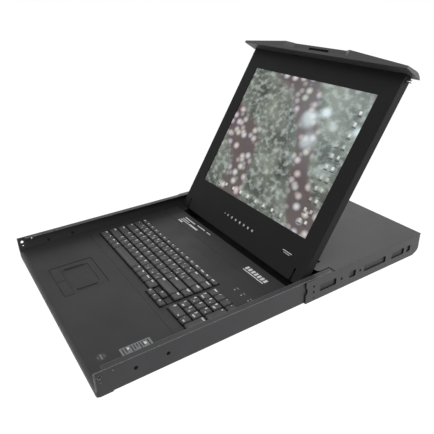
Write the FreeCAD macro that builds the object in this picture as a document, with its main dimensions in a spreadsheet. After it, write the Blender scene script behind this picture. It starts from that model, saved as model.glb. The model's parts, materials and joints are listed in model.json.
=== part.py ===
import FreeCAD, Part
import math
import os
import re
import Sketcher

# Rackmount LCD console drawer: a 1U chassis with a keyboard tray in front, an electronics box
# behind, two slide rails beside the box, and a hinged lid that carries the display.
# Millimetres. Chassis pieces are drawn with y = 0 at the chassis' front edge and z = 0 at its
# underside. Lid pieces are drawn flat: x across, y from the hinged edge to the free end,
# z out of the display's face. "placeChassis" and "placeLid" put them in the part's frame,
# whose origin is the middle of the chassis' underside.

Vector = FreeCAD.Vector
doc = FreeCAD.newDocument("ConsoleDrawer")
sheet = doc.addObject("Spreadsheet::Sheet", "sizes")

sizes = {
    # chassis
    "width": 440, "depth": 660, "wall_top": 43, "wall_sheet": 1.2, "wall_flange": 10,
    "bottom_flange": 20, "pan_sheet": 1.5, "pan_inset": 8, "skirt_depth": 24, "flange_start": 14,
    "wall_hem": 3.4, "wall_corner": 6, "box_front": 430, "cover_sheet": 1, "tongue_length": 26,
    "tongue_width": 21, "tongue_corner": 6, "cover_lip": 10, "seam": 0.3, "side_gap": 1.8,
    # latch hole and rivets in the side walls
    "latch_y": 8, "latch_z": 33, "latch_hole": 2.9, "small_hole": 1.2, "rivet_z": 23,
    "rivet_first": 59, "rivet_pitch": 50, "rivet_radius": 2, "rivet_head": 3, "rivet_collar": 1,
    # keyboard tray
    "deck_top": 16, "deck_sheet": 2, "lip_radius": 8, "rib": 2.5, "rib_half": 198,
    "palm_depth": 138, "bezel_end": 296, "strip_end": 358, "strip_step": 25, "step_drop": 0.5,
    "plate_bottom": 11, "plate_sheet": 1.2, "support_sheet": 1.2, "board_sheet": 1.6,
    "board_drop": 2.8,
    # keys
    "key_left": -191, "key_pitch": 18.8, "key_front": 157.5, "row_pitch": 19.2,
    "function_depth": 12.5, "keypad_left": 118.5, "keypad_pitch": 17.9, "arrow_pitch": 18.6,
    "arrow_front": 149, "arrow_depth": 13.5, "key_gap": 1.8, "key_taper": 1.5, "cap_bottom": 16.6,
    "cap_top": 20.6, "stem": 5, "stem_bottom": 10.4, "stem_play": 0.35, "key_play": 0.8,
    # touchpad
    "pad_x": -60.5, "pad_front": 27, "pad_width": 104, "pad_depth": 83, "pad_corner": 6,
    "pad_frame": 2, "pad_area_width": 69, "pad_area_depth": 48, "pad_area_front": 49,
    "pad_button_depth": 17, "pad_drop": 0.8, "ridge_width": 5, "ridge_rise": 1.2,
    "pad_floor": 10, "pad_button_sheet": 2.2,
    # status lights
    "light_y": 279, "light_x": 138.5, "light_pitch": 19.5, "light_radius": 1.4,
    # hinge
    "hinge_y": 378, "hinge_z": 31, "pin_y": 12, "pin_z": -7, "open_angle": 57.7,
    "shaft_radius": 3, "shaft_play": 0.05, "ear_radius": 6.5, "ear_sheet": 3, "ear_x": 178.5,
    "ear_front": 367, "ear_width": 8, "foot_start": 358.4, "foot_end": 400, "foot_width": 14,
    "foot_sheet": 3, "toe_length": 13, "toe_top": 13.5, "arm_sheet": 2.5, "arm_gap": 1.6,
    "slit_play": 0.4, "slit_length": 24,
    # lid
    "lid_half": 203, "lid_length": 390.6, "lid_back": -19, "bezel_sheet": 2, "lid_wall": 1.5,
    "lid_corner": 3.5, "screen_width": 339, "screen_top": 42.4, "screen_low": 76.6,
    "module_margin": 11, "module_back": -13, "module_front": -2.3, "menu_y": 37.5,
    "menu_light_x": -52, "menu_first": -40, "menu_pitch": 14, "menu_radius": 3.1,
    "menu_rise": 0.8, "menu_play": 0.3, "menu_board_back": -7.5, "inverter_length": 150,
    # front panel on the lid's free end
    "panel_half": 217, "panel_low": -19.5, "panel_high": 23.5, "nose_half": 74,
    "nose_depth": 17.5, "end_depth": 4.5, "panel_bulge": 3, "bulge_z": -3, "crown": 7,
    "notch_half": 87, "notch_slope": 18, "notch_floor": 11, "notch_rim": 5.5,
    "slot_half": 27, "slot_setback": 1.5, "slot_width": 7.5, "slot_depth": 8,
    "release_play": 0.4, "release_drop": 0.6, "release_travel": 2.5,
    # latch rods
    "rod_radius": 2.5, "rod_inner": 32, "rod_reach": 214,
    "rod_play": 0.4,
    # slide rails
    "rail_start": 366, "rail_gap": 2.2, "rail_sheet": 1, "rail_bottom": 0.2, "rail_lip": 7,
    "rail_return": 1.9, "window_low": 13.5, "window_high": 27, "window_corner": 2.5,
    "rail_hole": 2.5, "rail_hole_z": 20, "ear_hole": 2, "ear_hole_y": 17.5, "ear_hole_low": 6.5,
    "ear_hole_high": 29.5, "glide_height": 4, "glide_low": 5, "glide_high": 34,
    # electronics box
    "main_board_z": 8, "standoff_radius": 3, "supply_height": 34, "screw_head": 2.8,
    "screw_radius": 1.5, "screw_cap": 1.6,
}

for row, (alias, number) in enumerate(sizes.items(), start=1):
    sheet.set(f"A{row}", alias)
    sheet.set(f"B{row}", str(number))
    sheet.setAlias(f"B{row}", alias)
doc.recompute()


def bound(text):
    """The expression with each size's name given as a cell of the sheet."""
    return re.sub(r"[a-z_]\w*", lambda m: "sizes." + m[0] if m[0] in sizes else m[0], str(text))


def number(text):
    return float(sheet.evalExpression(bound(text)))


# ---------- placing ----------

def placeChassis(piece):
    piece.setExpression("Placement.Base.y", bound("-depth / 2"))


lidOriginY = "-depth / 2 + hinge_y - pin_y * cos(open_angle) + pin_z * sin(open_angle)"
lidOriginZ = "hinge_z - pin_y * sin(open_angle) - pin_z * cos(open_angle)"


def placeLid(piece):
    tilt = FreeCAD.Rotation(Vector(1, 0, 0), number("open_angle"))
    piece.Placement = FreeCAD.Placement(Vector(0, 0, 0), tilt)
    piece.setExpression("Placement.Rotation.Angle", bound("open_angle"))
    piece.setExpression("Placement.Base.y", bound(lidOriginY))
    piece.setExpression("Placement.Base.z", bound(lidOriginZ))


parts = []


def newBody(label, place=placeChassis):
    body = doc.addObject("PartDesign::Body", label)
    body.Label = label
    place(body)
    parts.append(body)
    return body


# ---------- outlines in sketches ----------

def pin(sketch, geometry, point, x, y):
    """Fixes a point of the geometry at two expressions."""
    for kind, text in (("DistanceX", x), ("DistanceY", y)):
        constraint = Sketcher.Constraint(kind, -1, 1, geometry, point, number(text))
        index = sketch.addConstraint(constraint)
        sketch.setExpression(f"Constraints[{index}]", bound(text))


def polygon(points):
    def draw(sketch):
        places = [Vector(number(x), number(y), 0) for x, y in points]
        first = sketch.GeometryCount
        count = len(points)
        for i in range(count):
            sketch.addGeometry(Part.LineSegment(places[i], places[(i + 1) % count]), False)
        for i in range(count):
            following = first + (i + 1) % count
            sketch.addConstraint(Sketcher.Constraint("Coincident", first + i, 2, following, 1))
        for i, (x, y) in enumerate(points):
            pin(sketch, first + i, 1, x, y)
    return draw


def rectangle(x0, y0, x1, y1):
    return polygon([(x0, y0), (x1, y0), (x1, y1), (x0, y1)])


def circle(x, y, radius):
    def draw(sketch):
        centre = Vector(number(x), number(y), 0)
        index = sketch.addGeometry(Part.Circle(centre, Vector(0, 0, 1), number(radius)), False)
        pin(sketch, index, 3, x, y)
        constraint = sketch.addConstraint(Sketcher.Constraint("Radius", index, number(radius)))
        sketch.setExpression(f"Constraints[{constraint}]", bound(radius))
    return draw


def roundedRectangle(x0, y0, x1, y1, radius):
    """Four sides and four quarter circles."""
    corners = [(x0, y0, 1, 1), (x1, y0, -1, 1), (x1, y1, -1, -1), (x0, y1, 1, -1)]

    def tangentPoint(i, along):
        x, y, inX, inY = corners[i]
        if along == "x":
            return f"({x}) + {inX} * ({radius})", f"({y})"
        return f"({x})", f"({y}) + {inY} * ({radius})"

    def draw(sketch):
        first = sketch.GeometryCount
        r = number(radius)
        for i in range(4):
            axis = "x" if i % 2 == 0 else "y"
            ends = [tangentPoint(i, axis), tangentPoint((i + 1) % 4, axis)]
            start, stop = (Vector(number(x), number(y), 0) for x, y in ends)
            side = sketch.addGeometry(Part.LineSegment(start, stop), False)
            pin(sketch, side, 1, *ends[0])
            pin(sketch, side, 2, *ends[1])
        for i in range(4):
            x, y, inX, inY = corners[(i + 1) % 4]
            centre = Vector(number(x) + inX * r, number(y) + inY * r, 0)
            turn = -math.pi / 2 + i * math.pi / 2
            ring = Part.Circle(centre, Vector(0, 0, 1), r)
            arc = sketch.addGeometry(Part.ArcOfCircle(ring, turn, turn + math.pi / 2), False)
            sketch.addConstraint(Sketcher.Constraint("Coincident", first + i, 2, arc, 1))
            following = first + (i + 1) % 4
            sketch.addConstraint(Sketcher.Constraint("Coincident", arc, 2, following, 1))
            index = sketch.addConstraint(Sketcher.Constraint("Radius", arc, r))
            sketch.setExpression(f"Constraints[{index}]", bound(radius))
    return draw


def newSketch(body, plane, offset, outlines):
    sketch = body.newObject("Sketcher::SketchObject", body.Label + "Sketch")
    face = [f for f in body.Origin.OriginFeatures if f.Role == plane + "_Plane"][0]
    sketch.AttachmentSupport = (face, "")
    sketch.MapMode = "FlatFace"
    sketch.setExpression("AttachmentOffset.Base.z", bound(offset))
    for draw in outlines:
        draw(sketch)
    return sketch


# ---------- features ----------

def pad(body, plane, low, high, *outlines):
    """Fills the outlines from one height of the plane's axis to another."""
    offset = f"-({high})" if plane == "XZ" else low
    feature = body.newObject("PartDesign::Pad", body.Label + "Pad")
    feature.Profile = newSketch(body, plane, offset, outlines)
    feature.setExpression("Length", bound(f"({high}) - ({low})"))
    return feature


def pocket(body, plane, low, high, *outlines):
    """Cuts the outlines between two heights of the plane's axis."""
    offset = f"-({low})" if plane == "XZ" else high
    feature = body.newObject("PartDesign::Pocket", body.Label + "Pocket")
    feature.Profile = newSketch(body, plane, offset, outlines)
    feature.setExpression("Length", bound(f"({high}) - ({low})"))
    return feature


def roundEdges(body, radius, wanted):
    """Rounds the edges of the body that the test picks, in the body's own coordinates."""
    doc.recompute()
    base = body.Tip
    names = [f"Edge{i}" for i, edge in enumerate(base.Shape.Edges, start=1) if wanted(edge)]
    if not names:
        raise RuntimeError(f"{body.Label}: no edge to round")
    feature = body.newObject("PartDesign::Fillet", body.Label + "Fillet")
    feature.Base = (base, names)
    feature.setExpression("Radius", bound(radius))
    return feature


def repeat(body, feature, axis, length, count):
    pattern = body.newObject("PartDesign::LinearPattern", body.Label + "Pattern")
    pattern.Originals = [feature]
    line = [f for f in body.Origin.OriginFeatures if f.Role == axis + "_Axis"][0]
    pattern.Direction = (line, [""])
    pattern.setExpression("Length", bound(length))
    pattern.Occurrences = count
    body.Tip = pattern
    return pattern


def near(a, text):
    return abs(a - number(text)) < 0.01


def upright(edge):
    """True for a straight edge along z."""
    box = edge.BoundBox
    return box.XLength < 0.01 and box.YLength < 0.01


def signed(side, text):
    return f"({text})" if side > 0 else f"-({text})"


sideNames = {-1: "left", 1: "right"}

# The latch rods lie in the lid. Closed, they line up with the holes in the side walls.
rodY = "hinge_y + pin_y - latch_y"
rodZ = "hinge_z + pin_z - latch_z"


# ---------- chassis ----------

def trayPan():
    body = newBody("tray_pan")
    edge = "width / 2 - pan_inset"
    outline = [("-width / 2", "0"), ("width / 2", "0"), ("width / 2", "skirt_depth"),
               (edge, "skirt_depth"), (edge, "depth"), (f"-({edge})", "depth"),
               (f"-({edge})", "skirt_depth"), ("-width / 2", "skirt_depth")]
    pad(body, "XY", "0", "pan_sheet", polygon(outline))
    roundEdges(body, "wall_corner", lambda e: upright(e) and near(e.BoundBox.YMin, "0"))
    slot = pocket(body, "XY", "0", "pan_sheet",
                  roundedRectangle("-150", "box_front + 40", "-100", "box_front + 44", "1.9"))
    repeat(body, slot, "Y", "120", 11)


def sideWall(side):
    """Web with a top flange and a bottom flange turned inwards and a hem at the front edge."""
    body = newBody(sideNames[side] + "_side_wall")
    outer = signed(side, "width / 2")
    inner = signed(side, "width / 2 - wall_sheet")
    low, high = ("width / 2 - wall_sheet", "width / 2")
    if side < 0:
        low, high = (f"-({high})", f"-({low})")
    pad(body, "YZ", low, high, rectangle("0", "pan_sheet", "depth", "wall_top"))
    flangeEnd = "depth - wall_sheet - seam"
    pad(body, "XY", "wall_top - wall_sheet", "wall_top",
        rectangle(outer, "flange_start", signed(side, "width / 2 - wall_flange"), flangeEnd))
    pad(body, "XY", "pan_sheet", "pan_sheet + wall_sheet",
        rectangle(outer, "flange_start", signed(side, "width / 2 - bottom_flange"), flangeEnd))
    pad(body, "XZ", "0", "wall_sheet",
        rectangle(inner, "latch_z - 20", signed(side, "width / 2 + wall_hem"), "wall_top"))
    hemTip = f"{side} * (width / 2 + wall_hem)"
    roundEdges(body, "wall_hem - 0.2", lambda e: near(e.BoundBox.XMin, hemTip)
               and e.BoundBox.YLength > 0.5 and e.BoundBox.ZLength < 0.01)
    pocket(body, "YZ", low, high, circle("latch_y", "latch_z", "latch_hole"),
           circle("latch_y + 0.7", "latch_z - 8.5", "small_hole"),
           circle("latch_y + 19.5", "latch_z + 3", "small_hole"),
           circle("rivet_first", "rivet_z", "rivet_radius"),
           circle("rivet_first + rivet_pitch", "rivet_z", "rivet_radius"))


def wallRivets():
    """Flush rivets through the side walls, with a collar on the inner face."""
    body = newBody("wall_rivets")
    web = "width / 2 - wall_sheet"
    for side in (-1, 1):
        spans = [(web, "width / 2", "rivet_radius"), (f"{web} - rivet_collar", web, "rivet_head")]
        for low, high, radius in spans:
            if side < 0:
                low, high = f"-({high})", f"-({low})"
            pad(body, "YZ", low, high, circle("rivet_first", "rivet_z", radius),
                circle("rivet_first + rivet_pitch", "rivet_z", radius))


def bulkhead():
    """Sheet that closes the electronics box towards the lid, with a flange under the cover."""
    body = newBody("bulkhead")
    half = "width / 2 - wall_flange - 0.4"
    pad(body, "XZ", "box_front - wall_sheet", "box_front",
        rectangle(f"-({half})", "pan_sheet + wall_sheet", half, "wall_top"))
    pad(body, "XY", "wall_top - wall_sheet", "wall_top",
        rectangle(f"-({half})", "box_front - wall_sheet", half, "box_front + 12"))
    pocket(body, "XZ", "box_front - wall_sheet", "box_front",
           circle("ear_x - 20", "wall_top / 2", "6"))


def topCover():
    """Lid of the electronics box. Two tongues reach forward beside the display lid."""
    body = newBody("top_cover")
    tongueOuter = "width / 2 - wall_flange - 1"
    tongueInner = f"{tongueOuter} - tongue_width"
    tongueFront = "box_front - tongue_length"
    edge = "width / 2 + rail_gap + rail_sheet"
    right = [(edge, "depth"), (edge, "box_front"), (tongueOuter, "box_front"),
             (tongueOuter, tongueFront), (tongueInner, tongueFront), (tongueInner, "box_front")]
    left = [(f"-({x})", y) for x, y in reversed(right)]
    pad(body, "XY", "wall_top", "wall_top + cover_sheet", polygon(right + left))
    roundEdges(body, "tongue_corner", lambda e: upright(e) and near(e.BoundBox.YMin, tongueFront))
    lip = "width / 2 - 2"
    pad(body, "XZ", "depth", "depth + cover_sheet",
        rectangle(f"-({lip})", "wall_top - cover_lip", lip, "wall_top + cover_sheet"))
    pad(body, "XY", "wall_top", "wall_top + cover_sheet",
        rectangle(f"-({edge})", "depth - 1", edge, "depth + cover_sheet"))
    holes = [circle(x, "wall_top - cover_lip / 2", "screw_radius + 0.1")
             for x in ("-180", "-60", "60", "180")]
    pocket(body, "XZ", "depth", "depth + cover_sheet", *holes)


def coverScrews():
    body = newBody("cover_screws")
    places = ("-180", "-60", "60", "180")
    z = "wall_top - cover_lip / 2"
    pad(body, "XZ", "depth - 4", "depth + cover_sheet", *[circle(x, z, "screw_radius") for x in places])
    pad(body, "XZ", "depth + cover_sheet", "depth + cover_sheet + screw_cap",
        *[circle(x, z, "screw_head") for x in places])


inletX, inletZ = "130", "20"


def rearPanel():
    body = newBody("rear_panel")
    half = "width / 2 - wall_sheet - 0.1"
    start = "depth - wall_sheet"
    pad(body, "XZ", start, "depth",
        rectangle(f"-({half})", "pan_sheet", half, "wall_top"))
    pocket(body, "XZ", start, "depth",
           rectangle(f"{inletX} - 14.3", f"{inletZ} - 10.3", f"{inletX} + 14.3", f"{inletZ} + 10.3"),
           rectangle("-60.3", "main_board_z + 1.3", "-5.7", "main_board_z + 14.3"),
           rectangle("-98.3", "main_board_z + 1.3", "-75.7", "main_board_z + 16.9"),
           *[circle(x, "wall_top - cover_lip / 2", "screw_radius + 0.1")
             for x in ("-180", "-60", "60", "180")])
    vent = pocket(body, "XZ", start, "depth",
                  roundedRectangle("-200", "10", "-197", "30", "1.4"))
    repeat(body, vent, "X", "72", 13)


def electronics():
    board = newBody("main_board")
    top = "main_board_z + board_sheet"
    pad(board, "XY", "main_board_z", top,
        rectangle("-150", "box_front + 40", "40", "depth - 20"))
    pad(board, "XY", top, f"{top} + 3",
        rectangle("-110", "box_front + 90", "-82", "box_front + 118"),
        rectangle("-40", "box_front + 80", "-20", "box_front + 110"),
        rectangle("0", "box_front + 60", "24", "box_front + 76"))
    standoffs = newBody("board_standoffs")
    pad(standoffs, "XY", "pan_sheet", "main_board_z",
        *[circle(x, y, "standoff_radius") for x in ("-142", "32")
          for y in ("box_front + 48", "depth - 30")])
    supply = newBody("power_supply")
    pad(supply, "XY", "pan_sheet", "pan_sheet + supply_height",
        rectangle("70", "box_front + 60", "190", "depth - 40"))
    roundEdges(supply, "2", upright)
    inlet = newBody("power_inlet")
    pad(inlet, "XZ", "depth - 22", "depth + 1.5",
        roundedRectangle(f"{inletX} - 14", f"{inletZ} - 10", f"{inletX} + 14",
                         f"{inletZ} + 10", "2"))
    pad(inlet, "XZ", "depth", "depth + 2",
        roundedRectangle(f"{inletX} - 16.5", f"{inletZ} - 12", f"{inletX} + 16.5",
                         f"{inletZ} + 12", "2.5"))
    pocket(inlet, "XZ", "depth - 14", "depth + 2",
           roundedRectangle(f"{inletX} - 12", f"{inletZ} - 8", f"{inletX} + 12",
                            f"{inletZ} + 8", "3"))
    pad(inlet, "XZ", "depth - 14", "depth - 4",
        *[rectangle(f"{inletX} + {x} - 1", f"{inletZ} + {z} - 2", f"{inletX} + {x} + 1",
                    f"{inletZ} + {z} + 2") for x, z in ((-7, -1), (0, 2), (7, -1))])
    console = newBody("console_connector")
    pad(console, "XZ", "depth - 26", "depth + 1",
        rectangle("-60", top, "-6", f"{top} + 12.4"))
    pad(console, "XZ", "depth + 1", "depth + 6",
        polygon([("-53", f"{top} + 10.5"), ("-51", f"{top} + 2"), ("-15", f"{top} + 2"),
                 ("-13", f"{top} + 10.5")]))
    ports = newBody("usb_ports")
    pad(ports, "XZ", "depth - 26", "depth + 0.6", rectangle("-98", top, "-76", f"{top} + 15"))
    pocket(ports, "XZ", "depth - 10", "depth + 0.6",
           rectangle("-94", f"{top} + 1.6", "-80", f"{top} + 6.8"),
           rectangle("-94", f"{top} + 8.4", "-80", f"{top} + 13.6"))


# ---------- keyboard tray ----------

padLeft, padRight = "pad_x - pad_width / 2", "pad_x + pad_width / 2"
padBack = "pad_front + pad_depth"
deckUnder = "deck_top - deck_sheet"


def palmRest():
    """Deck that turns down at the front in a round lip, with a rib at the back."""
    body = newBody("palm_rest")
    half = "width / 2 - wall_sheet - side_gap"
    pad(body, "YZ", f"-({half})", half,
        polygon([("0", "pan_sheet"), ("rib", "pan_sheet"), ("rib", deckUnder),
                 ("palm_depth", deckUnder), ("palm_depth", "deck_top"), ("0", "deck_top")]))
    corners = [("lip_radius - rib", "rib", deckUnder), ("lip_radius", "0", "deck_top")]
    for radius, y, z in corners:
        roundEdges(body, radius, lambda e: e.BoundBox.XLength > 100
                   and near(e.BoundBox.YMin, y) and near(e.BoundBox.ZMin, z))
    pad(body, "YZ", "-rib_half", "rib_half",
        rectangle("palm_depth - rib", "pan_sheet", "palm_depth", deckUnder))
    pocket(body, "XY", deckUnder, "deck_top",
           roundedRectangle(padLeft, "pad_front", padRight, padBack, "pad_corner"))


def touchpadPieces():
    frame = newBody("touchpad_frame")
    gap = "seam"
    pad(frame, "XY", "pad_floor", deckUnder,
        roundedRectangle(f"{padLeft} - 3", "pad_front - 3", f"{padRight} + 3", f"{padBack} + 3",
                         "pad_corner"))
    pad(frame, "XY", "pad_floor", "deck_top - pad_drop",
        roundedRectangle(f"{padLeft} + {gap}", f"pad_front + {gap}", f"{padRight} - {gap}",
                         f"{padBack} - {gap}", f"pad_corner - {gap}"))
    areaLeft, areaRight = "pad_x - pad_area_width / 2", "pad_x + pad_area_width / 2"
    areaBack = "pad_area_front + pad_area_depth"
    pad(frame, "XY", "deck_top - pad_drop - 1", "deck_top - pad_drop + ridge_rise",
        roundedRectangle(f"{areaLeft} - 1 - ridge_width", "pad_area_front + 5",
                         f"{areaLeft} - 1", f"{areaBack} - 5", "ridge_width / 2 - 0.1"),
        roundedRectangle(f"{areaRight} + 1", "pad_area_front + 5",
                         f"{areaRight} + 1 + ridge_width", f"{areaBack} - 5",
                         "ridge_width / 2 - 0.1"))
    pocket(frame, "XY", "pad_floor + board_sheet", "deck_top - pad_drop",
           rectangle(areaLeft, "pad_area_front", areaRight, areaBack))
    buttonsBack = "pad_front + pad_frame + pad_button_depth"
    pocket(frame, "XY", "pad_floor + 1", "deck_top - pad_drop",
           rectangle(f"{padLeft} + pad_frame", "pad_front + pad_frame", "pad_x - 0.6", buttonsBack),
           rectangle("pad_x + 0.6", "pad_front + pad_frame", f"{padRight} - pad_frame",
                     buttonsBack))
    surface = newBody("touchpad")
    pad(surface, "XY", "pad_floor + board_sheet", "deck_top - pad_drop - 0.5",
        rectangle(f"{areaLeft} + 0.2", "pad_area_front + 0.2", f"{areaRight} - 0.2",
                  f"{areaBack} - 0.2"))
    for side in (-1, 1):
        low, high = f"{padLeft} + pad_frame + 0.3", "pad_x - 0.9"
        if side > 0:
            low, high = "pad_x + 0.9", f"{padRight} - pad_frame - 0.3"
        button = newBody(sideNames[side] + "_touchpad_button")
        pad(button, "XY", "deck_top - pad_drop + 0.3 - pad_button_sheet", "deck_top - pad_drop + 0.3",
            rectangle(low, "pad_front + pad_frame + 0.3", high, f"{buttonsBack} - 0.3"))
        roundEdges(button, "1", lambda e: upright(e))


# key rows of the main block, front to back, each a list of widths in key pitches
bottomRow = [1.2, 1, 1, 1, 4.6, 1, 1, 1, 1.2]
lowerRow = [2.15] + [1] * 10 + [2.85]
homeRow = [1.75] + [1] * 11 + [2.25]
upperRow = [1.5] + [1] * 12 + [1.5]
numberRow = [1] * 13 + [2]
functionRow = [1] * 16
spaceIndex, enterIndex = 4, 12


def keySpans(widths):
    """Left and right edges of the keys of a main row."""
    edges = [number("key_left")]
    for width in widths:
        edges.append(edges[-1] + width * number("key_pitch"))
    return list(zip(edges, edges[1:]))


def rowSpan(row):
    """Front and back edges of a row: 0 is the space bar's, 5 the function keys'."""
    front = number("key_front") + row * number("row_pitch")
    depth = number("function_depth") if row == 5 else number("row_pitch")
    return front, front + depth


def keypadColumn(column):
    left = number("keypad_left") + column * number("keypad_pitch")
    return left, left + number("keypad_pitch")


mainRight = number("key_left + 16 * key_pitch")


def arrowColumn(column):
    left = mainRight - (3 - column) * number("arrow_pitch")
    return left, left + number("arrow_pitch")


def arrowRow(row):
    front = number("arrow_front") + row * number("arrow_depth")
    return front, front + number("arrow_depth")


keyGroups = {}
keyGroups["function_keys"] = [(span, rowSpan(5)) for span in keySpans(functionRow)]
keyGroups["number_keys"] = [(span, rowSpan(4)) for span in keySpans(numberRow)]
keyGroups["upper_letter_keys"] = [(span, rowSpan(3)) for span in keySpans(upperRow)]
keyGroups["home_row_keys"] = [(span, rowSpan(2)) for span in keySpans(homeRow)]
keyGroups["enter_key"] = [keyGroups["home_row_keys"].pop(enterIndex)]
keyGroups["lower_letter_keys"] = [(span, rowSpan(1)) for span in keySpans(lowerRow)]
keyGroups["bottom_row_keys"] = [(span, rowSpan(0)) for span in keySpans(bottomRow)]
keyGroups["space_bar"] = [keyGroups["bottom_row_keys"].pop(spaceIndex)]
navigationSpan = (number("key_left + 15 * key_pitch"), mainRight)
keyGroups["navigation_keys"] = [(navigationSpan, rowSpan(row)) for row in (1, 2, 3, 4)]
keyGroups["arrow_keys"] = [(arrowColumn(c), arrowRow(0)) for c in range(3)]
keyGroups["arrow_keys"].append((arrowColumn(1), arrowRow(1)))
keyGroups["keypad_keys"] = [(keypadColumn(c), rowSpan(r)) for r in (1, 2, 3) for c in range(3)]
keyGroups["keypad_keys"] += [(keypadColumn(c), rowSpan(4)) for c in range(4)]
keyGroups["keypad_keys"].append(((keypadColumn(0)[0], keypadColumn(1)[1]), rowSpan(0)))
keyGroups["keypad_keys"].append((keypadColumn(2), rowSpan(0)))
for row in (0, 2):
    keyGroups["keypad_keys"].append((keypadColumn(3), (rowSpan(row)[0], rowSpan(row + 1)[1])))


def block(x0, y0, z0, x1, y1, z1):
    return Part.makeBox(x1 - x0, y1 - y0, z1 - z0, Vector(x0, y0, z0))


def stemBox(span, depth, bottom, top, margin):
    """Square stem in the middle of a key, or the hole that guides it."""
    x, y = sum(span) / 2, sum(depth) / 2
    half = number("stem") / 2 + margin
    return block(x - half, y - half, bottom, x + half, y + half, top)


def keyCap(span, depth):
    """A cap that narrows towards its top, on a square stem."""
    inset = number("key_gap") / 2
    taper = number("key_taper")
    bottom, top = number("cap_bottom"), number("cap_top")
    rings = []
    for z, shrink in ((bottom, inset), (top, inset + taper)):
        x0, x1 = span[0] + shrink, span[1] - shrink
        y0, y1 = depth[0] + shrink, depth[1] - shrink
        corners = [Vector(x0, y0, z), Vector(x1, y0, z), Vector(x1, y1, z), Vector(x0, y1, z)]
        rings.append(Part.makePolygon(corners + corners[:1]))
    cap = Part.makeLoft(rings, True, True)
    return cap.fuse(stemBox(span, depth, number("stem_bottom"), bottom, 0))


def keys():
    """The caps of one group stay separate solids in one shape."""
    for label, places in keyGroups.items():
        piece = doc.addObject("Part::Feature", label)
        piece.Label = label
        piece.Shape = Part.makeCompound([keyCap(span, depth) for span, depth in places])
        placeChassis(piece)
        parts.append(piece)


def keyboardPieces():
    plateTop = "plate_bottom + plate_sheet"
    left, right = "key_left - 4", "keypad_left + 4 * keypad_pitch + 4"
    front, back = "arrow_front - 3", "key_front + 5 * row_pitch + function_depth + 3"
    support = newBody("keyboard_support")
    pad(support, "YZ", left, right,
        polygon([(front, "pan_sheet"), (back, "pan_sheet"), (back, "plate_bottom"),
                 (f"{back} - support_sheet", "plate_bottom"),
                 (f"{back} - support_sheet", "pan_sheet + support_sheet"),
                 (f"{front} + support_sheet", "pan_sheet + support_sheet"),
                 (f"{front} + support_sheet", "plate_bottom"), (front, "plate_bottom")]))
    board = newBody("keyboard_board")
    boardTop = "plate_bottom - board_drop"
    pad(board, "XY", f"{boardTop} - board_sheet", boardTop,
        rectangle(f"{left} + 4", f"{front} + support_sheet + 0.2", f"{right} - 4",
                  f"{back} - support_sheet - 0.2"))
    pad(board, "XY", boardTop, "plate_bottom",
        *[circle(x, y, "2") for x in (f"{left} + 8", "key_left + 16 * key_pitch + 4.5",
                                      f"{right} - 7")
          for y in (f"{front} + 5", f"{back} - 5")])
    plate = doc.addObject("Part::Feature", "keyboard_plate")
    plate.Label = "keyboard_plate"
    shape = block(number(left), number(front), number("plate_bottom"), number(right),
                  number(back), number(plateTop))
    holes = [stemBox(span, depth, number("plate_bottom"), number(plateTop), number("stem_play"))
             for group in keyGroups.values() for span, depth in group]
    fillers = []
    inset = number("key_gap") / 2 + number("key_taper") / 2
    for column in (0, 2):
        x0, x1 = arrowColumn(column)
        y0, y1 = arrowRow(1)
        fillers.append(block(x0 + inset, y0 + inset, number(plateTop), x1 - inset, y1 - inset,
                             number("deck_top + 0.4")))
    plate.Shape = shape.fuse(fillers).cut(holes).removeSplitter()
    placeChassis(plate)
    parts.append(plate)


def keyboardBezel():
    body = newBody("keyboard_bezel")
    half = "width / 2 - wall_sheet - side_gap"
    rowsBack = "key_front + 5 * row_pitch + function_depth"
    pad(body, "XY", deckUnder, "deck_top",
        rectangle(f"-({half})", "palm_depth + seam", half, "bezel_end"))
    mainEnd = "key_left + 16 * key_pitch"
    arrowStart = f"{mainEnd} - 3 * arrow_pitch"
    opening = [("key_left - key_play", "key_front - key_play"),
               (f"{arrowStart} - key_play", "key_front - key_play"),
               (f"{arrowStart} - key_play", "arrow_front - key_play"),
               (f"{mainEnd} + key_play", "arrow_front - key_play"),
               (f"{mainEnd} + key_play", f"{rowsBack} + key_play"),
               ("key_left - key_play", f"{rowsBack} + key_play")]
    pocket(body, "XY", deckUnder, "deck_top", polygon(opening))
    pocket(body, "XY", deckUnder, "deck_top",
           rectangle("keypad_left - key_play", "key_front - key_play",
                     "keypad_left + 4 * keypad_pitch + key_play",
                     "key_front + 5 * row_pitch + key_play"),
           *[circle(f"light_x + {i} * light_pitch", "light_y", "light_radius")
             for i in range(3)])
    pad(body, "YZ", "-rib_half", "rib_half",
        rectangle("bezel_end - rib", "pan_sheet", "bezel_end", deckUnder))
    pad(body, "YZ", "-rib_half", "rib_half",
        rectangle("palm_depth + seam", "pan_sheet", "palm_depth + seam + rib", deckUnder))
    lights = newBody("status_lights")
    pad(lights, "XY", f"{deckUnder} - 1", "deck_top + 0.3",
        *[circle(f"light_x + {i} * light_pitch", "light_y", "light_radius") for i in range(3)])


def rearStrip():
    body = newBody("rear_strip")
    half = "width / 2 - wall_sheet - side_gap"
    start = "bezel_end + seam"
    pad(body, "XY", deckUnder, "deck_top", rectangle(f"-({half})", start, half, "strip_end"))
    pad(body, "YZ", "-rib_half", "rib_half",
        rectangle("strip_end - rib", "pan_sheet", "strip_end", deckUnder))
    pocket(body, "XY", "deck_top - step_drop", "deck_top",
           rectangle(f"-({half})", start, half, "bezel_end + strip_step"))


# ---------- hinge ----------

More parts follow.
